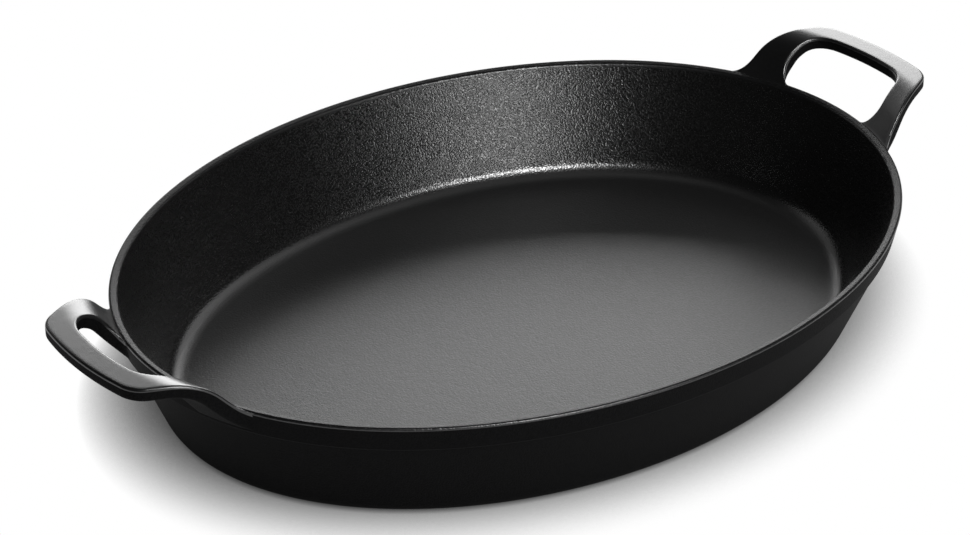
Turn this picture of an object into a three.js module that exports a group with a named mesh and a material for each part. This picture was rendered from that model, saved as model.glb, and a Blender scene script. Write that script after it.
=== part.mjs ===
// Oval baking dish: a cast-iron bowl with a rim band, a fired enamel lining and two loop handles.
// Millimetres, +Z up. The origin lies on the standing plane, under the middle of the bowl,
// with the long axis and the handles along X.

import * as THREE from 'three';

// Bowl: the oval is measured at the rim's outer edge, before that edge is rounded
const RIM_LENGTH = 370;
const RIM_WIDTH = 280;
const RIM_HEIGHT = 53.3;
const RIM_ROUND = 0.9;
const WALL_THICKNESS = 4.4;
const WALL_TAPER = THREE.MathUtils.degToRad(22);
const FLOOR_THICKNESS = 4.6;
const INNER_FILLET = 10;
const BASE_ROUND = 10;

// Rim band: the thicker collar round the top of the wall
const BAND_HEIGHT = 10.7;
const BAND_DRAFT = 2.2;
const BAND_STEP = 1.3;
const BAND_LEDGE = 1.1;
const BAND_EDGE_ROUND = 0.5;
const BAND_ROOT_ROUND = 2;

// Foot: the flat ring that the dish stands on, round a shallow recess
const FOOT_WIDTH = 16;
const FOOT_RECESS = 0.8;
const FOOT_SLOPE = 1.6;

// Enamel lining, seated flush in a rebate below the rim's lip
const ENAMEL_COAT = 0.4;
const LINING_DROP = 2;

// Handle outline, laid out along the rim and outward from it
const GRIP_REACH = 32.9;
const GRIP_BAR = 10.9;
const GRIP_HALF_SPAN = 24.9;
const ARM_SPLAY = THREE.MathUtils.degToRad(36);
const GRIP_CORNER_ROUND = 9.6;
const ARM_ROOT_FILLET = 12.4;
const OPENING_HALF_SPAN = 22.5;
const OPENING_SPLAY = THREE.MathUtils.degToRad(21.8);
const OPENING_CORNER_ROUND = 12.8;
const OPENING_ROOT_ROUND = 6.2;

// Handle section: a plate that climbs from the rim and bends over into the level grip
const PLATE_THICKNESS = 5.7;
const PLATE_EDGE_ROUND = 1.2;
const GRIP_RISE = 17.4;
const ARM_SLOPE = THREE.MathUtils.degToRad(53.6);
const BEND_RADIUS = 20.8;
const ROOT_CLEARANCE = 0.3;
const ROOT_TOE = 0.5;
const ROOT_LEAN_REACH = 8;

// Facets
const OVAL_STATIONS = 84;
const ROUND_STEPS = 5;
const EDGE_STEPS = 2;
const FLANK_STEPS = 5;
const GRIP_STEPS = 5;
const PLATE_STEPS = 3;
const FLOOR_MARGIN = 13;
const ARC_DIVISIONS = 2400;

const HALF_LENGTH = RIM_LENGTH / 2;
const HALF_WIDTH = RIM_WIDTH / 2;
const WALL_RUN = Math.tan(WALL_TAPER);
const CORNER_RUN = Math.tan(Math.PI / 4 - WALL_TAPER / 2);

/** Arc of the given radius that rounds the corner between two straight runs. */
function roundCorner(before, corner, after, radius, steps) {
  const toBefore = before.clone().sub(corner).normalize();
  const toAfter = after.clone().sub(corner).normalize();
  const halfAngle = Math.acos(toBefore.dot(toAfter)) / 2;
  const middle = toBefore.clone().add(toAfter).normalize();
  const centre = corner.clone().addScaledVector(middle, radius / Math.sin(halfAngle));
  const tangent = radius / Math.tan(halfAngle);
  const start = corner.clone().addScaledVector(toBefore, tangent).sub(centre);
  const end = corner.clone().addScaledVector(toAfter, tangent).sub(centre);
  const clockwise = start.cross(end) < 0;
  const arc = new THREE.EllipseCurve(
    centre.x, centre.y, radius, radius, start.angle(), end.angle(), clockwise);
  return arc.getPoints(steps);
}

/** Points of a line through corners, each a [x, y] or, where it is rounded, [x, y, radius, steps]. */
function roundedLine(corners) {
  const places = corners.map(([x, y]) => new THREE.Vector2(x, y));
  return corners.flatMap(([, , radius, steps], i) => {
    if (!radius) return [places[i]];
    return roundCorner(places[i - 1], places[i], places[i + 1], radius, steps);
  });
}

/** Point on the rim's oval at a parameter angle, moved outward along the oval's normal. */
function ovalPoint(angle, outset, height) {
  const normal = new THREE.Vector2(Math.cos(angle) / HALF_LENGTH, Math.sin(angle) / HALF_WIDTH);
  normal.normalize();
  return new THREE.Vector3(
    HALF_LENGTH * Math.cos(angle) + outset * normal.x,
    HALF_WIDTH * Math.sin(angle) + outset * normal.y,
    height);
}

/** Closed surface from its points and the indices of its triangles. */
function meshGeometry(points, triangles) {
  const geometry = new THREE.BufferGeometry().setFromPoints(points);
  geometry.setIndex(triangles);
  geometry.computeVertexNormals();
  return geometry;
}

/**
 * Solid made by carrying a profile once round the oval. The profile holds insets from the rim and
 * heights. It runs up the outside and back down the inside, and both ends close on the middle.
 * Facets split alike on the way up and down, so that two solids that share a face meet exactly.
 */
function ovalSolid(profile) {
  const points = [];
  const triangles = [];
  for (const place of profile) {
    for (let k = 0; k < OVAL_STATIONS; k += 1) {
      points.push(ovalPoint((2 * Math.PI * k) / OVAL_STATIONS, -place.x, place.y));
    }
  }
  const under = points.push(new THREE.Vector3(0, 0, profile[0].y)) - 1;
  const over = points.push(new THREE.Vector3(0, 0, profile[profile.length - 1].y)) - 1;
  const lastRing = (profile.length - 1) * OVAL_STATIONS;
  for (let k = 0; k < OVAL_STATIONS; k += 1) {
    const next = (k + 1) % OVAL_STATIONS;
    triangles.push(under, next, k);
    triangles.push(over, lastRing + k, lastRing + next);
    for (let i = 1; i < profile.length; i += 1) {
      const ring = (i - 1) * OVAL_STATIONS;
      const after = i * OVAL_STATIONS;
      if (profile[i].y > profile[i - 1].y) {
        triangles.push(ring + k, ring + next, after + next, ring + k, after + next, after + k);
      } else {
        triangles.push(ring + k, ring + next, after + k, ring + next, after + next, after + k);
      }
    }
  }
  return meshGeometry(points, triangles);
}

// The wall's outer face runs down from under the band, and its inner face is parallel to it.
const bandFoot = RIM_HEIGHT - BAND_HEIGHT;
const wallTop = bandFoot - BAND_LEDGE;
const outerWallInset = (height) => BAND_DRAFT + BAND_STEP + (wallTop - height) * WALL_RUN;
const innerWallInset = (height) => outerWallInset(height) + WALL_THICKNESS / Math.cos(WALL_TAPER);
const coatedWallInset = (height) => innerWallInset(height) - ENAMEL_COAT / Math.cos(WALL_TAPER);

const liningTop = RIM_HEIGHT - LINING_DROP;
const lipEdge = [innerWallInset(liningTop), liningTop];
const rebateHeight = liningTop - ENAMEL_COAT * Math.sin(WALL_TAPER);
const rebateEdge = [coatedWallInset(rebateHeight), rebateHeight];
const ironFloor = FLOOR_THICKNESS - ENAMEL_COAT;
const baseCorner = outerWallInset(0);
const footEdge = baseCorner + BASE_ROUND * CORNER_RUN;
const recessEdge = footEdge + FOOT_WIDTH;
const filletEnd = innerWallInset(FLOOR_THICKNESS) + INNER_FILLET * CORNER_RUN;
const floorRing = filletEnd + FLOOR_MARGIN;

/** Iron bowl: recess, foot, flared wall, rim band and lip, then the seat of the lining. */
function bowlGeometry() {
  return ovalSolid(roundedLine([
    [recessEdge + FOOT_SLOPE, FOOT_RECESS],
    [recessEdge, 0],
    [baseCorner, 0, BASE_ROUND, ROUND_STEPS],
    [outerWallInset(wallTop), wallTop, BAND_ROOT_ROUND, EDGE_STEPS],
    [BAND_DRAFT, bandFoot, BAND_EDGE_ROUND, EDGE_STEPS],
    [0, RIM_HEIGHT, RIM_ROUND, EDGE_STEPS],
    [innerWallInset(RIM_HEIGHT), RIM_HEIGHT, RIM_ROUND, EDGE_STEPS],
    lipEdge,
    rebateEdge,
    [coatedWallInset(ironFloor), ironFloor, INNER_FILLET + ENAMEL_COAT, ROUND_STEPS],
    [floorRing, ironFloor],
  ]));
}

/** Enamel lining: its back lies on the iron, and its face is the cooking surface. */
function liningGeometry() {
  return ovalSolid(roundedLine([
    [floorRing, ironFloor],
    [coatedWallInset(ironFloor), ironFloor, INNER_FILLET + ENAMEL_COAT, ROUND_STEPS],
    rebateEdge,
    lipEdge,
    [innerWallInset(FLOOR_THICKNESS), FLOOR_THICKNESS, INNER_FILLET, ROUND_STEPS],
    [floorRing, FLOOR_THICKNESS],
  ]));
}

// The rim's oval by distance along it from the end of the long axis
const rimOval = new THREE.EllipseCurve(0, 0, HALF_LENGTH, HALF_WIDTH);
rimOval.arcLengthDivisions = ARC_DIVISIONS;
const angleAlong = (along) => {
  const share = rimOval.getUtoTmapping(0, Math.abs(along));
  return Math.sign(along) * share * 2 * Math.PI;
};

// The plate's top bends about a level line, reached where the arm's slope turns into the grip.
const gripTop = RIM_HEIGHT + GRIP_RISE;
const bendCentre = gripTop - BEND_RADIUS;
const slopeEnd = (bendCentre + BEND_RADIUS * Math.cos(ARM_SLOPE) - RIM_HEIGHT) / Math.tan(ARM_SLOPE);
const bendEnd = slopeEnd + BEND_RADIUS * Math.sin(ARM_SLOPE);

/** Height of the plate at a reach outward from the rim, at a depth below its top face. */
function plateHeight(reach, depth) {
  const radius = BEND_RADIUS - depth;
  const tangent = bendEnd - radius * Math.sin(ARM_SLOPE);
  if (reach > bendEnd) return gripTop - depth;
  if (reach > tangent) return bendCentre + Math.sqrt(radius ** 2 - (bendEnd - reach) ** 2);
  return bendCentre + radius * Math.cos(ARM_SLOPE) - (tangent - reach) * Math.tan(ARM_SLOPE);
}

/** How far the band's leaning face lies inside the rim at a height. */
function bandInset(height) {
  const share = (RIM_HEIGHT - height) / BAND_HEIGHT;
  return BAND_DRAFT * THREE.MathUtils.clamp(share, 0, 1);
}

/**
 * One half of a handle outline, from its root on the rim to the middle of the grip. Points hold the
 * distance along the rim and the reach outward. The root's round runs out on the rim at the toe.
 */
function halfOutline(reach, halfSpan, splay, cornerRound, rootRound, rootSide) {
  const foot = halfSpan + (reach + ROOT_TOE) * Math.tan(splay);
  const corner = new THREE.Vector2(halfSpan, reach);
  const root = new THREE.Vector2(foot, -ROOT_TOE);
  const alongRim = new THREE.Vector2(foot + rootSide * RIM_LENGTH, -ROOT_TOE);
  const middle = new THREE.Vector2(0, reach);
  const turn = Math.acos(1 - (ROOT_CLEARANCE + ROOT_TOE) / rootRound);
  const rootArc = roundCorner(alongRim, root, corner, rootRound, ROUND_STEPS);
  const centre = new THREE.Vector2(rootArc[0].x, rootRound - ROOT_TOE);
  const start = -rootSide * turn;
  const end = Math.atan2(rootArc[ROUND_STEPS].x - centre.x, centre.y - rootArc[ROUND_STEPS].y);
  const cornerArc = roundCorner(root, corner, middle, cornerRound, ROUND_STEPS);
  const points = [];
  for (let k = 0; k <= ROUND_STEPS; k += 1) {
    const angle = THREE.MathUtils.lerp(start, end, k / ROUND_STEPS);
    points.push(new THREE.Vector2(
      centre.x + rootRound * Math.sin(angle), centre.y - rootRound * Math.cos(angle)));
  }
  const flankStart = points[ROUND_STEPS].clone();
  for (let k = 1; k < FLANK_STEPS; k += 1) {
    points.push(flankStart.clone().lerp(cornerArc[0], k / FLANK_STEPS));
  }
  points.push(...cornerArc);
  for (let k = 1; k <= GRIP_STEPS; k += 1) {
    points.push(cornerArc[ROUND_STEPS].clone().lerp(middle, k / GRIP_STEPS));
  }
  return points;
}

/** Whole outline from root to root: the half and its mirror image. */
function wholeOutline(half) {
  const mirrored = half.slice(0, -1).reverse().map(({ x, y }) => new THREE.Vector2(-x, y));
  return [...half, ...mirrored];
}

/**
 * Steps across one face of the plate from its inner to its outer edge. Each holds the share of the
 * width and how far the rounded edge drops below the face there.
 */
function plateSteps(width) {
  const steps = [];
  const edge = (k) => {
    const angle = (Math.PI / 2) * (k / EDGE_STEPS);
    return [PLATE_EDGE_ROUND * (1 - Math.cos(angle)), PLATE_EDGE_ROUND * (1 - Math.sin(angle))];
  };
  for (let k = 0; k <= EDGE_STEPS; k += 1) {
    const [across, depth] = edge(k);
    steps.push([across / width, depth]);
  }
  const flat = 1 - (2 * PLATE_EDGE_ROUND) / width;
  for (let k = 1; k < PLATE_STEPS; k += 1) {
    steps.push([PLATE_EDGE_ROUND / width + (flat * k) / PLATE_STEPS, 0]);
  }
  for (let k = EDGE_STEPS; k >= 0; k -= 1) {
    const [across, depth] = edge(k);
    steps.push([1 - across / width, depth]);
  }
  return steps;
}

/** Point of the plate, in oval measure; near the root it leans with the band's face. */
function platePoint(place, depth) {
  const height = plateHeight(place.y, depth);
  const lean = bandInset(height) * Math.max(0, 1 - (place.y - ROOT_CLEARANCE) / ROOT_LEAN_REACH);
  return ovalPoint(angleAlong(place.x), place.y - lean, height);
}

/** Loop handle at the +X end: sections of a round-edged plate, lofted between its two outlines. */
function handleGeometry() {
  const outer = wholeOutline(halfOutline(
    GRIP_REACH, GRIP_HALF_SPAN, ARM_SPLAY, GRIP_CORNER_ROUND, ARM_ROOT_FILLET, 1));
  const inner = wholeOutline(halfOutline(
    GRIP_REACH - GRIP_BAR, OPENING_HALF_SPAN, OPENING_SPLAY, OPENING_CORNER_ROUND,
    OPENING_ROOT_ROUND, -1));
  const points = [];
  let sectionSize = 0;
  for (let k = 0; k < outer.length; k += 1) {
    const steps = plateSteps(inner[k].distanceTo(outer[k]));
    const at = (share) => inner[k].clone().lerp(outer[k], share);
    const top = steps.map(([share, depth]) => platePoint(at(share), depth));
    const under = steps.map(([share, depth]) => platePoint(at(share), PLATE_THICKNESS - depth));
    points.push(...top, ...under.reverse());
    sectionSize = 2 * steps.length;
  }
  const triangles = [];
  const lastSection = (outer.length - 1) * sectionSize;
  for (let section = 0; section < lastSection; section += sectionSize) {
    const following = section + sectionSize;
    for (let k = 0; k < sectionSize; k += 1) {
      const next = (k + 1) % sectionSize;
      triangles.push(section + k, following + k, following + next);
      triangles.push(section + k, following + next, section + next);
    }
  }
  for (let k = 0; k < sectionSize / 2 - 1; k += 1) {
    const below = sectionSize - 1 - k;
    triangles.push(k, k + 1, below - 1, k, below - 1, below);
    triangles.push(lastSection + k, lastSection + below - 1, lastSection + k + 1);
    triangles.push(lastSection + k, lastSection + below, lastSection + below - 1);
  }
  return meshGeometry(points, triangles);
}

function namedMesh(name, geometry, finish) {
  const mesh = new THREE.Mesh(geometry, new THREE.MeshStandardMaterial(finish));
  mesh.name = name;
  return mesh;
}

const satinEnamel = { color: 0x1c1c1d, roughness: 0.42, metalness: 0 };
const cookingEnamel = { color: 0x141414, roughness: 0.6, metalness: 0 };

const ovalBakingDish = new THREE.Group();
ovalBakingDish.add(namedMesh('dish_body', bowlGeometry(), satinEnamel));
ovalBakingDish.add(namedMesh('interior_enamel', liningGeometry(), cookingEnamel));
ovalBakingDish.add(namedMesh('right_handle', handleGeometry(), satinEnamel));

const leftHandle = namedMesh('left_handle', handleGeometry(), satinEnamel);
leftHandle.rotation.z = Math.PI;
ovalBakingDish.add(leftHandle);

export default ovalBakingDish;
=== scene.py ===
"""Oval baking dish in black enamelled cast iron: fine surfaces, enamel finishes and a plain studio."""

import math

import bpy
import numpy as np
from bpy.props import FloatProperty, FloatVectorProperty, PointerProperty
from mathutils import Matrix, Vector


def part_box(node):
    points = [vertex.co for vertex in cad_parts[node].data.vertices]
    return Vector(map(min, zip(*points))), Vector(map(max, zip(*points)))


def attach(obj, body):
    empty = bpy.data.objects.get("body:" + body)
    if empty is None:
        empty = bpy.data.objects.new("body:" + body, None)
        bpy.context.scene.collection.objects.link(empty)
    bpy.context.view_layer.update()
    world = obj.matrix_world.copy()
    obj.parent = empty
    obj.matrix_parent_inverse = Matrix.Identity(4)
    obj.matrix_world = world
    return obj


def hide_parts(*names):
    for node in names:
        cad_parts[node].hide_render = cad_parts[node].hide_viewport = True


bl_info = {
    "name": "Oval Baking Dish",
    "version": (1, 0, 0),
    "blender": (4, 5, 0),
    "location": "View3D > Sidebar > Baking Dish",
    "description": "Builds an enamelled oval baking dish with loop handles, and a plain studio for it",
    "category": "Object",
}

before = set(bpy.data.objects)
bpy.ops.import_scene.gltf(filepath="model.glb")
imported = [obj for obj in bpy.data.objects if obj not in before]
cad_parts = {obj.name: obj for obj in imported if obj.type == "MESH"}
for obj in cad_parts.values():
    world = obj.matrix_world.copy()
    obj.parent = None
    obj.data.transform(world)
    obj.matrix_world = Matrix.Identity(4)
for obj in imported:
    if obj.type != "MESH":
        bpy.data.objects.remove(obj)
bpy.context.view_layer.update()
RIM_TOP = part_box("dish_body")[1].z
GRIP_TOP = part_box("right_handle")[1].z

# How finely the surfaces are divided
OVAL_STATIONS = 480
ARC_STEPS = 10
RUN_STEPS = 6
FLOOR_RINGS = 12
GRIP_STATIONS = 16
SECTION_STEPS = 8
TRAVEL_STATIONS = 2000
PAPER_STATIONS = 96
PAPER_RINGS = 24

# Edges that turn by more than this stay sharp
SHARP_EDGE = math.radians(35)

# Slope of the rim's rounded edges past which their enamel is glossier
EDGE_START = math.radians(40)

# Starts of the flat floor, in radii of the fillet beside it, and of the recess, in widths of its slope
FLOOR_INSET = 2
RECESS_INSET = 4

# Range that most of a noise lies in, and the octaves of the grain's, the ripple's and the paper's noise
NOISE_LOW = 0.3
NOISE_HIGH = 0.7
GRAIN_DETAIL = 0
RIPPLE_DETAIL = 2
CLOUD_DETAIL = 2

# Painted shade in the hollows and painted highlight on the crests of the grain, as shares of the enamel's own
# colour
HOLLOW_PAINTED_SHADE = 0.7
CREST_PAINTED_HIGHLIGHT = 1.3

# Heights up the inner fillet, in its radii: end of the dull film, start and end of the grain's rise
DULL_END = 0.25
COARSE_START = 0.24
COARSE_END = 0.6

# Studio: clouds in the paper, rays that look for open sky, light from all round, width of the sensor in mm
CLOUD_SIZE = 0.4
CLOUD_TINT = 0.005
SHADE_SAMPLES = 16
WORLD_LEVEL = 0.015
SENSOR_WIDTH = 36

# Soft lights: azimuth and elevation in degrees, distance, width and height in metres, radiance
SOFTBOXES = {
    "back_softbox": (51, 17, 1.8, 1.15, 0.88, 6.8),
    "back_right_softbox": (16, 35, 1.8, 0.95, 0.90, 1.4),
    "back_left_softbox": (90, 29, 1.8, 1.20, 0.90, 0.6),
    "top_softbox": (25, 64, 1.8, 1.00, 1.00, 0.4),
    "high_strip": (269, 49, 1.5, 0.70, 0.20, 54.0),
    "low_strip": (266, 13, 1.5, 0.70, 0.20, 15.0),
}


def length(name, description, default):
    """Property that holds a length in metres."""
    return FloatProperty(name=name, description=description, default=default, precision=5, unit="LENGTH")


def turn(name, description, degrees):
    """Property that holds an angle, given here in degrees."""
    return FloatProperty(name=name, description=description, default=math.radians(degrees), subtype="ANGLE")


def share(name, description, default):
    """Property that holds a value from 0 to 1."""
    return FloatProperty(name=name, description=description, default=default, min=0, max=1, subtype="FACTOR")


def colour(name, description, default):
    """Property that holds a linear colour."""
    return FloatVectorProperty(name=name, description=description, default=default, size=3, subtype="COLOR")


def place(name, description, default):
    """Property that holds a point in metres."""
    return FloatVectorProperty(name=name, description=description, default=default, size=3, subtype="XYZ",
                               unit="LENGTH")


class BowlSizes(bpy.types.PropertyGroup):
    """Sizes of the iron bowl and of the enamel inside it."""

    rim_length: length("Rim length", "Long axis of the oval at the rim's outer edge", 0.370)
    rim_width: length("Rim width", "Short axis of the oval at the rim's outer edge", 0.280)
    rim_height: length("Rim height", "Height of the rim above the standing plane", RIM_TOP)
    rim_outer_round: length("Rim outer round", "Radius of the rim's outer edge", 0.0010)
    rim_inner_round: length("Rim inner round", "Radius of the rim's inner edge", 0.0020)
    rim_crest: length("Rim crest", "Inset of the rim's highest line", 0.00135)
    rim_fall: length("Rim fall", "How far the rim falls from its crest to its inner edge", 0.0006)
    rim_crest_round: length("Rim crest round", "Radius of the rim's crest", 0.0012)
    wall_thickness: length("Wall thickness", "Thickness of the flared wall", 0.0044)
    wall_taper: turn("Wall taper", "Lean of the wall away from upright", 22)
    floor_thickness: length("Floor thickness", "Thickness of the floor", 0.0046)
    inner_fillet: length("Inner fillet", "Radius between the floor and the wall inside", 0.010)
    base_round: length("Base round", "Radius between the wall and the foot outside", 0.010)
    band_height: length("Band height", "Height of the thicker collar below the rim", 0.0107)
    band_draft: length("Band draft", "How far the band leans in from top to bottom", 0.0022)
    band_step: length("Band step", "How far the wall stands back under the band", 0.0013)
    band_ledge: length("Band ledge", "Height of the sloped step under the band", 0.0011)
    band_edge_round: length("Band edge round", "Radius of the band's lower edge", 0.0006)
    band_root_round: length("Band root round", "Radius where the wall meets the band", 0.0020)
    foot_width: length("Foot width", "Width of the flat ring that the dish stands on", 0.016)
    foot_recess: length("Foot recess", "Depth of the recess inside the foot", 0.0008)
    foot_slope: length("Foot slope", "Width of the recess's sloped edge", 0.0016)
    enamel_coat: length("Enamel coat", "Thickness of the enamel inside", 0.0004)
    lining_drop: length("Lining drop", "Depth of the coarse enamel's edge below the rim", 0.0020)


class HandleSizes(bpy.types.PropertyGroup):
    """Sizes of the loop handles, laid out along the rim and outward from it."""

    grip_reach: length("Grip reach", "From the rim to the outer edge of the grip", 0.0329)
    grip_bar: length("Grip bar", "Width of the grip", 0.0109)
    grip_half_span: length("Grip half span", "Half the outer length of the grip, along the rim", 0.0249)
    arm_splay: turn("Arm splay", "Spread of the arms' outer flanks towards the rim", 36)
    grip_corner: length("Grip corner", "Radius of the outer corners", 0.0096)
    arm_root: length("Arm root", "Fillet where the outer flanks meet the rim", 0.0124)
    opening_half_span: length("Opening half span", "Half the length of the finger gap at the grip", 0.0225)
    opening_splay: turn("Opening splay", "Spread of the finger gap towards the rim", 21.8)
    opening_corner: length("Opening corner", "Radius of the finger gap's outer corners", 0.0128)
    opening_root: length("Opening root", "Fillet where the finger gap meets the rim", 0.0062)
    plate_thickness: length("Plate thickness", "Thickness of the handle", 0.0057)
    plate_edge: length("Plate edge", "Radius of the handle's long edges", 0.0013)
    grip_height: length("Grip height", "Height of the grip's top above the standing plane", GRIP_TOP)
    arm_slope: turn("Arm slope", "How steeply the arms climb", 53.6)
    bend_radius: length("Bend radius", "Radius of the bend from the arms to the grip", 0.0208)
    root_toe: length("Root toe", "How deep the root fillets run out inside the band", 0.0003)
    lean_reach: length("Lean reach", "Reach over which the roots follow the band's lean", 0.008)


class EnamelFinish(bpy.types.PropertyGroup):
    """Colours and grain of the enamels."""

    outer_colour: colour("Outer colour", "Satin enamel outside", (0.0025, 0.0025, 0.0026))
    cooking_colour: colour("Cooking colour", "Matt enamel inside", (0.0020, 0.0020, 0.0020))
    grip_colour: colour("Grip colour", "Satin enamel on the handles", (0.0025, 0.0025, 0.0026))
    outer_roughness: share("Outer roughness", "Roughness of the satin enamel outside", 0.62)
    rim_roughness: share("Rim roughness", "Roughness of the enamel on the rim", 0.44)
    edge_roughness: share("Edge roughness", "Roughness of the enamel on the rim's rounded edges", 0.31)
    wall_roughness: share("Wall roughness", "Roughness of the enamel on the wall inside", 0.262)
    floor_roughness: share("Floor roughness", "Roughness of the enamel on the floor inside", 0.45)
    grip_roughness: share("Grip roughness", "Roughness of the satin enamel on the handles", 0.29)
    outer_gloss: share("Outer gloss", "Specular level of the satin enamel outside", 0.025)
    rim_gloss: share("Rim gloss", "Specular level of the enamel on the rim", 0.10)
    edge_gloss: share("Edge gloss", "Specular level of the enamel on the rim's rounded edges", 0.55)
    cooking_gloss: share("Cooking gloss", "Specular level of the enamel inside", 0.7)
    grip_gloss: share("Grip gloss", "Specular level of the satin enamel on the handles", 0.68)
    grain_size: length("Grain size", "Width of a grain of the enamel", 0.00070)
    grain_height: length("Grain height", "Height of a grain of the enamel inside", 0.00017)
    floor_grain: share("Floor grain", "Share of the grain's height left on the floor inside", 0.35)
    outer_grain_height: length("Outer grain height", "Height of a grain of the enamel outside", 0.00010)
    rim_grain_height: length("Rim grain height", "Height of a grain of the enamel on the rim", 0.00014)
    grip_grain_height: length("Grip grain height", "Height of a grain of the enamel on the handles", 0.000003)
    cooking_speckle: share("Cooking speckle", "Change of roughness over a grain of the enamel inside", 0.08)
    outer_speckle: share("Outer speckle", "Change of roughness over a grain of the enamel outside", 0.006)
    ripple_size: length("Ripple size", "Width of a ripple in the satin enamel", 0.0045)
    ripple_height: length("Ripple height", "Height of a ripple in the satin enamel", 0.00003)


class StudioSettings(bpy.types.PropertyGroup):
    """Floor, lights and camera."""

    floor_colour: colour("Floor colour", "Colour of the studio floor", (0.86, 0.86, 0.86))
    floor_radius: length("Floor radius", "Radius of the studio floor", 8.0)
    shade_reach: length("Shade reach", "How far the dish shades the floor", 0.034)
    shade_power: FloatProperty(name="Shade power", description="How deep the dish shades the floor",
                               default=3)
    shade_side: turn("Shade side", "Side that the open sky is weighed towards", 256)
    shade_lean: turn("Shade lean", "How far from upright the open sky is weighed", 45)
    camera_target: place("Camera target", "Point in the middle of the picture", (-0.01099, 0.00766, 0.03262))
    camera_distance: length("Camera distance", "From the camera to its target", 1.29754)
    camera_azimuth: turn("Camera azimuth", "Turn of the camera round the dish", -38.73)
    camera_elevation: turn("Camera elevation", "Height of the camera as an angle", 30.20)
    camera_lens: FloatProperty(name="Lens", description="Focal length on a 36 mm sensor", default=112.18,
                               unit="CAMERA")


def unit(vector):
    """The vector at a length of one."""
    return vector / np.linalg.norm(vector)


def corner_arc(before, corner, after, radius):
    """
    Arc that rounds a corner between two straight runs. Its centre lies on the bisector, radius / sin(half
    the angle) from the corner, and it turns evenly from one tangent point to the other.
    """
    to_before = unit(before - corner)
    to_after = unit(after - corner)
    half = math.acos(np.dot(to_before, to_after)) / 2
    centre = corner + unit(to_before + to_after) * radius / math.sin(half)
    start = corner + to_before * radius / math.tan(half) - centre
    end = corner + to_after * radius / math.tan(half) - centre
    sweep = math.atan2(start[0] * end[1] - start[1] * end[0], np.dot(start, end))
    angles = math.atan2(start[1], start[0]) + sweep * np.linspace(0, 1, ARC_STEPS + 1)
    return centre + radius * np.stack([np.cos(angles), np.sin(angles)], axis=1)


def run(start, end, steps=RUN_STEPS):
    """Points inside a straight run, crowded at its ends: shares (1 - cos u) / 2 of the way for even u."""
    shares = (1 - np.cos(np.linspace(0, np.pi, steps + 1)[1:-1])) / 2
    return start + shares[:, None] * (end - start)


def rounded_line(corners):
    """Line through corners, each (across, height, radius): arcs at the rounded corners, runs between them."""
    corners = np.array(corners, float)
    places = corners[:, :2]
    bends = [
        corner_arc(places[i - 1], places[i], places[i + 1], radius) if radius else places[i:i + 1]
        for i, radius in enumerate(corners[:, 2])
    ]
    pieces = [bends[0]]
    for before, after in zip(bends, bends[1:]):
        pieces += [run(before[-1], after[0]), after]
    return np.concatenate(pieces)


class Oval:
    """The rim's oval, x = a cos t and y = b sin t, and the lines of the bowl's wall that follow it."""

    def __init__(self, bowl):
        self.bowl = bowl
        self.half_length = bowl.rim_length / 2
        self.half_width = bowl.rim_width / 2
        self.lean = math.tan(bowl.wall_taper)
        self.slant = 1 / math.cos(bowl.wall_taper)
        self.band_foot = bowl.rim_height - bowl.band_height
        self.wall_top = self.band_foot - bowl.band_ledge
        self.angles = np.linspace(0, np.pi / 2, TRAVEL_STATIONS)
        step_x = np.diff(self.half_length * np.cos(self.angles))
        step_y = np.diff(self.half_width * np.sin(self.angles))
        self.travel = np.concatenate([[0], np.cumsum(np.hypot(step_x, step_y))])

    def points(self, angles, outset, height):
        """Points at parameter angles t, moved outset along the oval's outward normal."""
        normal_x = np.cos(angles) / self.half_length
        normal_y = np.sin(angles) / self.half_width
        size = np.hypot(normal_x, normal_y)
        x = self.half_length * np.cos(angles) + outset * normal_x / size
        y = self.half_width * np.sin(angles) + outset * normal_y / size
        return np.stack(np.broadcast_arrays(x, y, height), axis=-1)

    def angle_along(self, along):
        """Parameter angle at a distance along the oval from the end of its long axis."""
        return np.sign(along) * np.interp(np.abs(along), self.travel, self.angles)

    def outer_wall(self, height):
        """Inset of the wall's outer face at a height: it leans in evenly below the band."""
        return self.bowl.band_draft + self.bowl.band_step + (self.wall_top - height) * self.lean

    def inner_wall(self, height):
        """Inset of the cooking face of the wall, parallel to the outer face."""
        return self.outer_wall(height) + self.bowl.wall_thickness * self.slant

    def seat_wall(self, height):
        """Inset of the iron behind the enamel."""
        return self.inner_wall(height) - self.bowl.enamel_coat * self.slant


def make_piece(name, points, faces, node, slot, finishes, marks=0):
    """
    Object from points and faces that rides on the dish's body and stands for a node of the frame. The marks
    are the numbers of the faces' finishes.
    """
    mesh = bpy.data.meshes.new(name)
    mesh.from_pydata(points.tolist(), [], [face for group in faces for face in group.tolist()])
    mesh.shade_smooth()
    mesh.set_sharp_from_angle(angle=SHARP_EDGE)
    for finish in finishes:
        mesh.materials.append(finish)
    mesh.polygons.foreach_set("material_index", np.zeros(len(mesh.polygons), np.int32) + marks)
    piece = bpy.data.objects.new(name, mesh)
    bpy.context.scene.collection.objects.link(piece)
    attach(piece, "root")
    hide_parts(node)
    return piece


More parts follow.
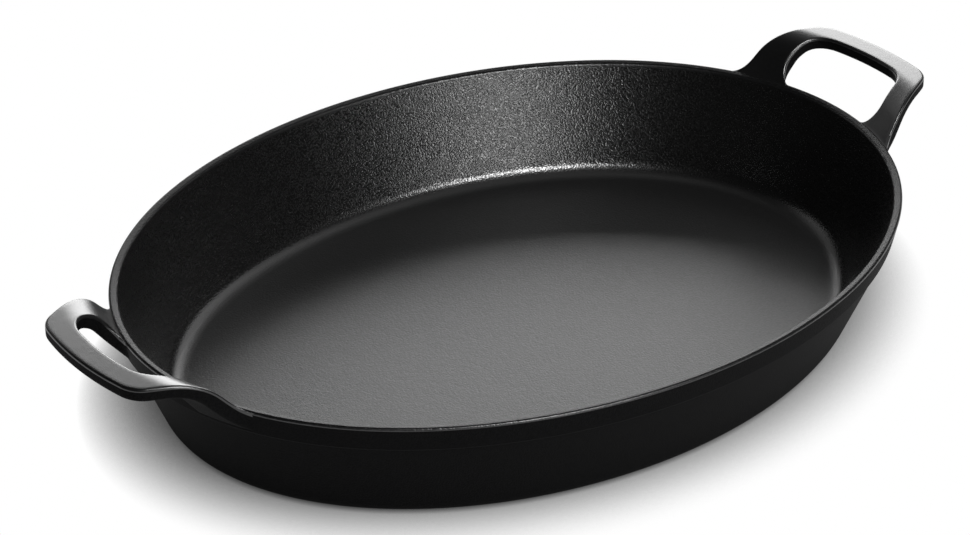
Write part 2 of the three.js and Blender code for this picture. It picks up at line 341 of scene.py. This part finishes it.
def oval_solid(oval, profile):
    """
    Closed solid from a profile of insets and heights that is carried round the oval. The face inside its
    first and last ring shrinks to the middle in even steps. Returns the points and the faces.
    """
    angles = np.linspace(0, 2 * np.pi, OVAL_STATIONS, endpoint=False)
    rings = oval.points(angles, -profile[:, :1], profile[:, 1:])
    shares = np.linspace(0, 1, FLOOR_RINGS + 1)[1:-1, None, None]
    first_middle = np.array([0, 0, profile[0, 1]])
    last_middle = np.array([0, 0, profile[-1, 1]])
    under = first_middle + shares * (rings[0] - first_middle)
    over = last_middle + shares[::-1] * (rings[-1] - last_middle)
    rings = np.concatenate([under, rings, over])
    index = np.arange(rings.shape[0] * OVAL_STATIONS).reshape(-1, OVAL_STATIONS)
    following = np.roll(index, -1, axis=1)
    quads = np.stack([index[:-1], following[:-1], following[1:], index[1:]], axis=-1).reshape(-1, 4)
    first_pole = np.full(OVAL_STATIONS, index.size)
    last_pole = first_pole + 1
    under_fan = np.stack([first_pole, following[0], index[0]], axis=1)
    over_fan = np.stack([last_pole, index[-1], following[-1]], axis=1)
    points = np.concatenate([rings.reshape(-1, 3), [first_middle, last_middle]])
    return points, [quads, under_fan, over_fan]


def lining_edge(oval):
    """The two corners of the coarse enamel's upper edge: on the wall's face and on the iron behind it."""
    bowl = oval.bowl
    top = bowl.rim_height - bowl.lining_drop
    seat = top - bowl.enamel_coat * math.sin(bowl.wall_taper)
    return (oval.inner_wall(top), top, 0), (oval.seat_wall(seat), seat, 0)


def floor_start(oval):
    """Inset where the flat floor begins, past the end of the fillet inside the wall."""
    bowl = oval.bowl
    return oval.inner_wall(bowl.floor_thickness) + FLOOR_INSET * bowl.inner_fillet


def bowl_profile(oval):
    """Recess, foot, flared wall, band, rim, lip and the seat of the enamel, from under to over."""
    bowl = oval.bowl
    corner = oval.outer_wall(0)
    foot = corner + bowl.base_round * math.tan(math.pi / 4 - bowl.wall_taper / 2)
    recess = foot + bowl.foot_width
    iron_floor = bowl.floor_thickness - bowl.enamel_coat
    inner_edge = bowl.rim_height - bowl.rim_fall
    lip, seat = lining_edge(oval)
    return rounded_line([
        (recess + RECESS_INSET * bowl.foot_slope, bowl.foot_recess, 0),
        (recess + bowl.foot_slope, bowl.foot_recess, bowl.foot_slope),
        (recess, 0, bowl.foot_slope),
        (corner, 0, bowl.base_round),
        (oval.outer_wall(oval.wall_top), oval.wall_top, bowl.band_root_round),
        (bowl.band_draft, oval.band_foot, bowl.band_edge_round),
        (0, bowl.rim_height, bowl.rim_outer_round),
        (bowl.rim_crest, bowl.rim_height, bowl.rim_crest_round),
        (oval.inner_wall(inner_edge), inner_edge, bowl.rim_inner_round),
        lip,
        seat,
        (oval.seat_wall(iron_floor), iron_floor, bowl.inner_fillet + bowl.enamel_coat),
        (floor_start(oval), iron_floor, 0),
    ])


def rim_marks(oval, profile, faces):
    """
    Marks of the bowl's faces: 1 on the rim, from the start of its outer round over to the lip, 2 on the steep
    parts of its rounded edges, and else 0.
    """
    bowl = oval.bowl
    inset, height = ((profile[1:] + profile[:-1]) / 2).T
    half_turn = (math.pi / 2 + math.atan(bowl.band_draft / bowl.band_height)) / 2
    outer_start = bowl.rim_height - bowl.rim_outer_round * math.tan(half_turn)
    across, fall = np.abs(np.diff(profile, axis=0)).T
    inside = (inset > bowl.rim_outer_round) & (height > bowl.rim_height - bowl.lining_drop)
    rim = inside | (height > outer_start)
    edge = rim & (fall > across * math.tan(EDGE_START))
    marks = np.repeat(rim.astype(np.int32) + edge, OVAL_STATIONS)
    before = (FLOOR_RINGS - 1) * OVAL_STATIONS
    after = sum(len(group) for group in faces) - before - len(marks)
    return np.pad(marks, (before, after))


def lining_profile(oval):
    """Back of the enamel on the iron's floor and wall, its upper edge, then its face down to the floor."""
    bowl = oval.bowl
    iron_floor = bowl.floor_thickness - bowl.enamel_coat
    lip, seat = lining_edge(oval)
    return rounded_line([
        (floor_start(oval), iron_floor, 0),
        (oval.seat_wall(iron_floor), iron_floor, bowl.inner_fillet + bowl.enamel_coat),
        seat,
        lip,
        (oval.inner_wall(bowl.floor_thickness), bowl.floor_thickness, bowl.inner_fillet),
        (floor_start(oval), bowl.floor_thickness, 0),
    ])


def half_outline(handle, reach, half_span, splay, corner_round, root_round, side):
    """
    Half of a handle's outline as (along the rim, outward): a fillet out of the rim band, a straight flank, a
    rounded corner and half the grip. side is 1 where the root spreads outward and -1 inside the finger gap.
    """
    foot = half_span + (reach + handle.root_toe) * math.tan(splay)
    root = np.array([foot, -handle.root_toe])
    beside = root + np.array([side * half_span, 0])
    corner = np.array([half_span, reach])
    middle = np.array([0, reach])
    root_arc = corner_arc(beside, root, corner, root_round)
    bend = corner_arc(root, corner, middle, corner_round)
    flank = run(root_arc[-1], bend[0], GRIP_STATIONS)
    grip = run(bend[-1], middle, GRIP_STATIONS)
    return np.concatenate([root_arc, flank, bend, grip, [middle]])


def whole_outline(half):
    """The half outline followed by its mirror image."""
    return np.concatenate([half, half[-2::-1] * (-1, 1)])


def plate_height(oval, handle, reach, depth):
    """
    Height at a reach from the rim and a depth under the plate's top. The top climbs at an even slope from the
    rim, follows an arc and ends level; under it the arc keeps its centre, so the plate is evenly thick.
    """
    centre = handle.grip_height - handle.bend_radius
    slope = math.tan(handle.arm_slope)
    slope_end = (centre + handle.bend_radius * math.cos(handle.arm_slope) - oval.bowl.rim_height) / slope
    bend_end = slope_end + handle.bend_radius * math.sin(handle.arm_slope)
    radius = handle.bend_radius - depth
    tangent = bend_end - radius * math.sin(handle.arm_slope)
    arc = centre + np.sqrt(np.maximum(radius ** 2 - (bend_end - reach) ** 2, 0))
    climb = centre + radius * math.cos(handle.arm_slope) - (tangent - reach) * slope
    return np.where(reach > bend_end, handle.grip_height - depth, np.where(reach > tangent, arc, climb))


def plate_section(handle, width):
    """
    Round-edged section of the plate, for outlines that lie width apart: quarter circles at both edges and a
    flat face between them. Returns shares of the width and depths, over the top and back along the underside.
    """
    quarter = np.linspace(0, np.pi / 2, SECTION_STEPS + 1)
    drop = handle.plate_edge * (1 - np.sin(quarter))
    across = handle.plate_edge * (1 - np.cos(quarter)) / width[:, None]
    flat_steps = np.linspace(0, 1, SECTION_STEPS + 1)[1:-1]
    edge = handle.plate_edge / width[:, None]
    flat = edge + (1 - 2 * edge) * flat_steps
    shares = np.concatenate([across, flat, 1 - across[:, ::-1]], axis=1)
    depths = np.concatenate([drop, np.zeros(len(flat_steps)), drop[::-1]])
    depths = np.concatenate([depths, handle.plate_thickness - depths[::-1]])
    shares = np.concatenate([shares, shares[:, ::-1]], axis=1)
    return shares, np.broadcast_to(depths, shares.shape)


def handle_surface(oval, handle):
    """
    Loop handle at the +X end: sections between the finger gap's outline and the outer one, set on the rim's
    oval by their distance along it and their reach, and leaning with the band at the roots. Returns the
    points, the faces and their marks: 0 on the top and its rounded edges, 1 on the sides and underneath.
    """
    outer = whole_outline(half_outline(handle, handle.grip_reach, handle.grip_half_span, handle.arm_splay,
                                       handle.grip_corner, handle.arm_root, 1))
    inner = whole_outline(half_outline(handle, handle.grip_reach - handle.grip_bar, handle.opening_half_span,
                                       handle.opening_splay, handle.opening_corner, handle.opening_root, -1))
    shares, depths = plate_section(handle, np.linalg.norm(outer - inner, axis=1))
    spots = inner[:, None] + shares[:, :, None] * (outer - inner)[:, None]
    along, reach = spots[..., 0], spots[..., 1]
    height = plate_height(oval, handle, reach, depths)
    below_rim = np.clip((oval.bowl.rim_height - height) / oval.bowl.band_height, 0, 1)
    lean = oval.bowl.band_draft * below_rim * np.clip(1 - reach / handle.lean_reach, 0, 1)
    points = oval.points(oval.angle_along(along), reach - lean, height)
    index = np.arange(shares.size).reshape(shares.shape)
    following = np.roll(index, -1, axis=1)
    sides = np.stack([index[:-1], index[1:], following[1:], following[:-1]], axis=-1).reshape(-1, 4)
    half = shares.shape[1] // 2
    top, under = index[:, :half], index[:, :half - 1:-1]
    first_cap = np.stack([top[0, :-1], top[0, 1:], under[0, 1:], under[0, :-1]], axis=1)
    last_cap = np.stack([top[-1, :-1], under[-1, :-1], under[-1, 1:], top[-1, 1:]], axis=1)
    marks = np.ones(len(sides) + len(first_cap) + len(last_cap), np.int32)
    marks[:len(sides)].reshape(-1, shares.shape[1])[:, :half - 1] = 0
    return points.reshape(-1, 3), [sides, first_cap, last_cap], marks


def add_node(tree, kind, values=None, **settings):
    """Shader node of a kind with its settings and the values of its unlinked inputs."""
    node = tree.nodes.new(kind)
    for name, value in settings.items():
        setattr(node, name, value)
    for name, value in (values or {}).items():
        node.inputs[name].default_value = value
    return node


def noise(tree, size, detail):
    """Noise on the piece's own coordinates with features about size metres wide."""
    spot = add_node(tree, "ShaderNodeTexCoord")
    cloud = add_node(tree, "ShaderNodeTexNoise", {"Scale": 1 / size, "Detail": detail})
    tree.links.new(spot.outputs["Object"], cloud.inputs["Vector"])
    return cloud.outputs["Fac"]


def spread(tree, source, low, high, from_low=NOISE_LOW, from_high=NOISE_HIGH):
    """The range of a source between two values, by default most of a noise, spread over low to high."""
    values = {"From Min": from_low, "From Max": from_high, "To Min": low, "To Max": high}
    node = add_node(tree, "ShaderNodeMapRange", values)
    tree.links.new(source, node.inputs["Value"])
    return node.outputs["Result"]


def tint(tree, source, base, low, high):
    """Base colour that is darker and lighter with the source, from low to high times itself."""
    ramp = add_node(tree, "ShaderNodeValToRGB")
    ramp.color_ramp.elements[0].position = NOISE_LOW
    ramp.color_ramp.elements[0].color = (*[low * c for c in base], 1)
    ramp.color_ramp.elements[1].position = NOISE_HIGH
    ramp.color_ramp.elements[1].color = (*[high * c for c in base], 1)
    tree.links.new(source, ramp.inputs["Fac"])
    return ramp.outputs["Color"]


def relief(tree, source, height, under=None):
    """Bump of a height in metres from a source of 0 to 1, on top of another bump."""
    node = add_node(tree, "ShaderNodeBump", {"Strength": 1.0, "Distance": height})
    tree.links.new(source, node.inputs["Height"])
    if under:
        tree.links.new(under, node.inputs["Normal"])
    return node.outputs["Normal"]


def start_finish(name):
    """Empty node material and its shader."""
    finish = bpy.data.materials.new(name)
    finish.use_nodes = True
    return finish, finish.node_tree, finish.node_tree.nodes["Principled BSDF"]


def combine(tree, operation, first, second):
    """Two sources added or multiplied."""
    node = add_node(tree, "ShaderNodeMath", operation=operation)
    tree.links.new(first, node.inputs[0])
    tree.links.new(second, node.inputs[1])
    return node.outputs["Value"]


def enamel(name, look, base, roughness, gloss, grain_height):
    """
    Black enamel: a film with a raised grain over shallow ripples, a little duller in the hollows of the
    grain, with painted shade in the hollows and a painted highlight on the crests.
    """
    finish, tree, shader = start_finish(name)
    shader.inputs["Specular IOR Level"].default_value = gloss
    grain = noise(tree, look.grain_size, GRAIN_DETAIL)
    ripple = noise(tree, look.ripple_size, RIPPLE_DETAIL)
    # Base colour: painted shade in the grain's hollows and a painted highlight on its crests
    tree.links.new(tint(tree, grain, base, HOLLOW_PAINTED_SHADE, CREST_PAINTED_HIGHLIGHT), shader.inputs["Base Color"])
    dullness = spread(tree, grain, roughness + look.outer_speckle, roughness - look.outer_speckle)
    tree.links.new(dullness, shader.inputs["Roughness"])
    film = relief(tree, ripple, look.ripple_height)
    tree.links.new(relief(tree, grain, grain_height, film), shader.inputs["Normal"])
    return finish


def outer_enamel(name, look):
    """Satin enamel outside the bowl and on the sides of the handles."""
    return enamel(name, look, look.outer_colour, look.outer_roughness, look.outer_gloss,
                  look.outer_grain_height)


def cooking_enamel(look, bowl):
    """
    Black enamel inside: its grain stands up on the wall, with crests that are glossier than its hollows, and
    sinks into a duller film on the lower part of the fillet and on the floor.
    """
    finish, tree, shader = start_finish("cooking_enamel")
    shader.inputs["Specular IOR Level"].default_value = look.cooking_gloss
    spot = add_node(tree, "ShaderNodeTexCoord")
    axes = add_node(tree, "ShaderNodeSeparateXYZ")
    tree.links.new(spot.outputs["Object"], axes.inputs["Vector"])
    height = axes.outputs["Z"]
    floor, rise = bowl.floor_thickness, bowl.inner_fillet
    grain = noise(tree, look.grain_size, GRAIN_DETAIL)
    ripple = noise(tree, look.ripple_size, RIPPLE_DETAIL)
    dullness = spread(tree, height, look.floor_roughness, look.wall_roughness, floor, floor + DULL_END * rise)
    coarse = spread(tree, height, look.floor_grain, 1, floor + COARSE_START * rise, floor + COARSE_END * rise)
    speckle = spread(tree, grain, look.cooking_speckle, -look.cooking_speckle)
    speckle = combine(tree, "MULTIPLY", speckle, coarse)
    raised = combine(tree, "MULTIPLY", grain, coarse)
    # Base colour: painted shade in the grain's hollows and a painted highlight on its crests
    painted_grain_shade = tint(tree, grain, look.cooking_colour, HOLLOW_PAINTED_SHADE, CREST_PAINTED_HIGHLIGHT)
    tree.links.new(painted_grain_shade, shader.inputs["Base Color"])
    tree.links.new(combine(tree, "ADD", dullness, speckle), shader.inputs["Roughness"])
    film = relief(tree, ripple, look.ripple_height)
    tree.links.new(relief(tree, raised, look.grain_height, film), shader.inputs["Normal"])
    return finish


class DISH_OT_bowl(bpy.types.Operator):
    """Make the iron bowl with its foot, flared wall, rim band and rim."""

    bl_idname = "baking_dish.bowl"
    bl_label = "Bowl"

    def execute(self, context):
        oval = Oval(context.scene.dish_bowl)
        look = context.scene.dish_finish
        profile = bowl_profile(oval)
        points, faces = oval_solid(oval, profile)
        rim = enamel("rim_enamel", look, look.outer_colour, look.rim_roughness, look.rim_gloss,
                     look.rim_grain_height)
        edge = enamel("edge_enamel", look, look.outer_colour, look.edge_roughness, look.edge_gloss,
                      look.rim_grain_height)
        make_piece("iron_bowl", points, faces, "dish_body", "outer_enamel",
                   [outer_enamel("bowl_enamel", look), rim, edge], rim_marks(oval, profile, faces))
        return {"FINISHED"}


class DISH_OT_lining(bpy.types.Operator):
    """Make the coarse enamel on the inside of the bowl."""

    bl_idname = "baking_dish.lining"
    bl_label = "Cooking enamel"

    def execute(self, context):
        oval = Oval(context.scene.dish_bowl)
        look = context.scene.dish_finish
        finish = cooking_enamel(look, context.scene.dish_bowl)
        make_piece("cooking_surface", *oval_solid(oval, lining_profile(oval)), "interior_enamel",
                   "cooking_enamel", [finish])
        return {"FINISHED"}


class DISH_OT_handles(bpy.types.Operator):
    """Make the loop handles at both ends."""

    bl_idname = "baking_dish.handles"
    bl_label = "Handles"

    def execute(self, context):
        oval = Oval(context.scene.dish_bowl)
        look = context.scene.dish_finish
        top = enamel("handle_enamel", look, look.grip_colour, look.grip_roughness, look.grip_gloss,
                     look.grip_grain_height)
        finishes = [top, outer_enamel("handle_side_enamel", look)]
        points, faces, marks = handle_surface(oval, context.scene.dish_handle)
        half_turn = (-1, -1, 1)
        make_piece("loop_handle_right", points, faces, "right_handle", "handle_enamel", finishes, marks)
        make_piece("loop_handle_left", points * half_turn, faces, "left_handle", "handle_enamel", finishes,
                   marks)
        return {"FINISHED"}


def studio_paper(studio):
    """
    Pale paper. The camera and reflections see it white, less what the dish shades: the open share of the sky
    over each point, weighed towards one side and raised to a power, is the soft shadow round the foot.
    """
    finish, tree, shader = start_finish("studio_paper")
    shader.inputs["Roughness"].default_value = 1.0
    shader.inputs["Specular IOR Level"].default_value = 0.0
    cloud = noise(tree, CLOUD_SIZE, CLOUD_DETAIL)
    pale = tint(tree, cloud, studio.floor_colour, 1 - CLOUD_TINT, 1 + CLOUD_TINT)
    tree.links.new(pale, shader.inputs["Base Color"])
    open_sky = add_node(tree, "ShaderNodeAmbientOcclusion", {"Distance": studio.shade_reach},
                        samples=SHADE_SAMPLES)
    shade = add_node(tree, "ShaderNodeMath", {1: studio.shade_power}, operation="POWER")
    level = math.sin(studio.shade_lean)
    side = add_node(tree, "ShaderNodeCombineXYZ", {"X": level * math.cos(studio.shade_side),
                                                   "Y": level * math.sin(studio.shade_side),
                                                   "Z": math.cos(studio.shade_lean)})
    tree.links.new(side.outputs["Vector"], open_sky.inputs["Normal"])
    white = add_node(tree, "ShaderNodeEmission")
    path = add_node(tree, "ShaderNodeLightPath")
    mirror = add_node(tree, "ShaderNodeMath", operation="MAXIMUM")
    seen = add_node(tree, "ShaderNodeMath", operation="MAXIMUM")
    blend = add_node(tree, "ShaderNodeMixShader")
    tree.links.new(open_sky.outputs["AO"], shade.inputs[0])
    tree.links.new(shade.outputs["Value"], white.inputs["Strength"])
    tree.links.new(path.outputs["Is Glossy Ray"], mirror.inputs[0])
    tree.links.new(path.outputs["Is Transmission Ray"], mirror.inputs[1])
    tree.links.new(path.outputs["Is Camera Ray"], seen.inputs[0])
    tree.links.new(mirror.outputs["Value"], seen.inputs[1])
    tree.links.new(seen.outputs["Value"], blend.inputs["Fac"])
    tree.links.new(shader.outputs["BSDF"], blend.inputs[1])
    tree.links.new(white.outputs["Emission"], blend.inputs[2])
    tree.links.new(blend.outputs["Shader"], tree.nodes["Material Output"].inputs["Surface"])
    return finish


def studio_floor(studio):
    """Pale disc of rings whose radius grows as the square of their number."""
    angles = np.linspace(0, 2 * np.pi, PAPER_STATIONS, endpoint=False)
    radii = studio.floor_radius * np.linspace(0, 1, PAPER_RINGS + 1)[1:, None] ** 2
    rings = np.stack(np.broadcast_arrays(radii * np.cos(angles), radii * np.sin(angles), 0.0), axis=-1)
    index = np.arange(rings.size // 3).reshape(rings.shape[:2])
    following = np.roll(index, -1, axis=1)
    quads = np.stack([index[:-1], index[1:], following[1:], following[:-1]], axis=-1).reshape(-1, 4)
    middle = np.full(len(angles), index.size)
    fan = np.stack([middle, index[0], following[0]], axis=1)
    mesh = bpy.data.meshes.new("studio_floor")
    mesh.from_pydata([*rings.reshape(-1, 3).tolist(), [0, 0, 0]], [], [*quads.tolist(), *fan.tolist()])
    mesh.materials.append(studio_paper(studio))
    floor = bpy.data.objects.new("studio_floor", mesh)
    bpy.context.scene.collection.objects.link(floor)


def softbox(name, azimuth, elevation, distance, width, height, radiance):
    """Area light that faces the dish, evenly bright: its power is its radiance times pi times its area."""
    lamp = bpy.data.lights.new(name, "AREA")
    lamp.shape = "RECTANGLE"
    lamp.size = width
    lamp.size_y = height
    lamp.energy = radiance * math.pi * width * height
    a, e = math.radians(azimuth), math.radians(elevation)
    toward = Vector((math.cos(a) * math.cos(e), math.sin(a) * math.cos(e), math.sin(e)))
    light = bpy.data.objects.new(name, lamp)
    light.location = Vector((0, 0, RIM_TOP / 2)) + toward * distance
    light.rotation_euler = toward.to_track_quat("Z", "Y").to_euler()
    light.visible_camera = False
    bpy.context.scene.collection.objects.link(light)


def studio_camera(studio):
    """Camera on a sphere round its target, level and without shift."""
    data = bpy.data.cameras.new("studio_camera")
    data.lens = studio.camera_lens
    data.sensor_width = SENSOR_WIDTH
    data.sensor_fit = "HORIZONTAL"
    a, e = studio.camera_azimuth, studio.camera_elevation
    back = Vector((math.sin(a) * math.cos(e), -math.cos(a) * math.cos(e), math.sin(e)))
    camera = bpy.data.objects.new("studio_camera", data)
    camera.location = Vector(studio.camera_target) + back * studio.camera_distance
    camera.rotation_euler = back.to_track_quat("Z", "Y").to_euler()
    bpy.context.scene.collection.objects.link(camera)
    bpy.context.scene.camera = camera


class DISH_OT_stage(bpy.types.Operator):
    """Make the pale floor, the soft lights and the camera."""

    bl_idname = "baking_dish.stage"
    bl_label = "Studio"

    def execute(self, context):
        studio = context.scene.dish_studio
        studio_floor(studio)
        studio_camera(studio)
        for name, placing in SOFTBOXES.items():
            softbox(name, *placing)
        world = bpy.data.worlds.new("studio_world")
        world.use_nodes = True
        background = world.node_tree.nodes["Background"]
        background.inputs["Color"].default_value = (WORLD_LEVEL, WORLD_LEVEL, WORLD_LEVEL, 1)
        context.scene.world = world
        context.scene.view_settings.view_transform = "Standard"
        return {"FINISHED"}


class DISH_PT_panel(bpy.types.Panel):
    """Sidebar panel with the sizes and the steps that make the dish."""

    bl_idname = "DISH_PT_panel"
    bl_label = "Baking Dish"
    bl_space_type = "VIEW_3D"
    bl_region_type = "UI"
    bl_category = "Baking Dish"

    def draw(self, context):
        for operator in OPERATORS:
            self.layout.operator(operator.bl_idname)
        for name in GROUPS:
            group = getattr(context.scene, name)
            box = self.layout.box()
            for key in group.__annotations__:
                box.prop(group, key)


GROUPS = {
    "dish_bowl": BowlSizes,
    "dish_handle": HandleSizes,
    "dish_finish": EnamelFinish,
    "dish_studio": StudioSettings,
}
OPERATORS = (DISH_OT_bowl, DISH_OT_lining, DISH_OT_handles, DISH_OT_stage)
CLASSES = (*GROUPS.values(), *OPERATORS, DISH_PT_panel)


def register():
    """Register the classes and hang the settings on the scene."""
    for item in CLASSES:
        bpy.utils.register_class(item)
    for name, group in GROUPS.items():
        setattr(bpy.types.Scene, name, PointerProperty(type=group))


def unregister():
    """Take the settings and the classes away again."""
    for name in GROUPS:
        delattr(bpy.types.Scene, name)
    for item in reversed(CLASSES):
        bpy.utils.unregister_class(item)


def main():
    """Build the dish and its studio."""
    register()
    bpy.ops.baking_dish.bowl()
    bpy.ops.baking_dish.lining()
    bpy.ops.baking_dish.handles()
    bpy.ops.baking_dish.stage()


if __name__ == "__main__":
    main()
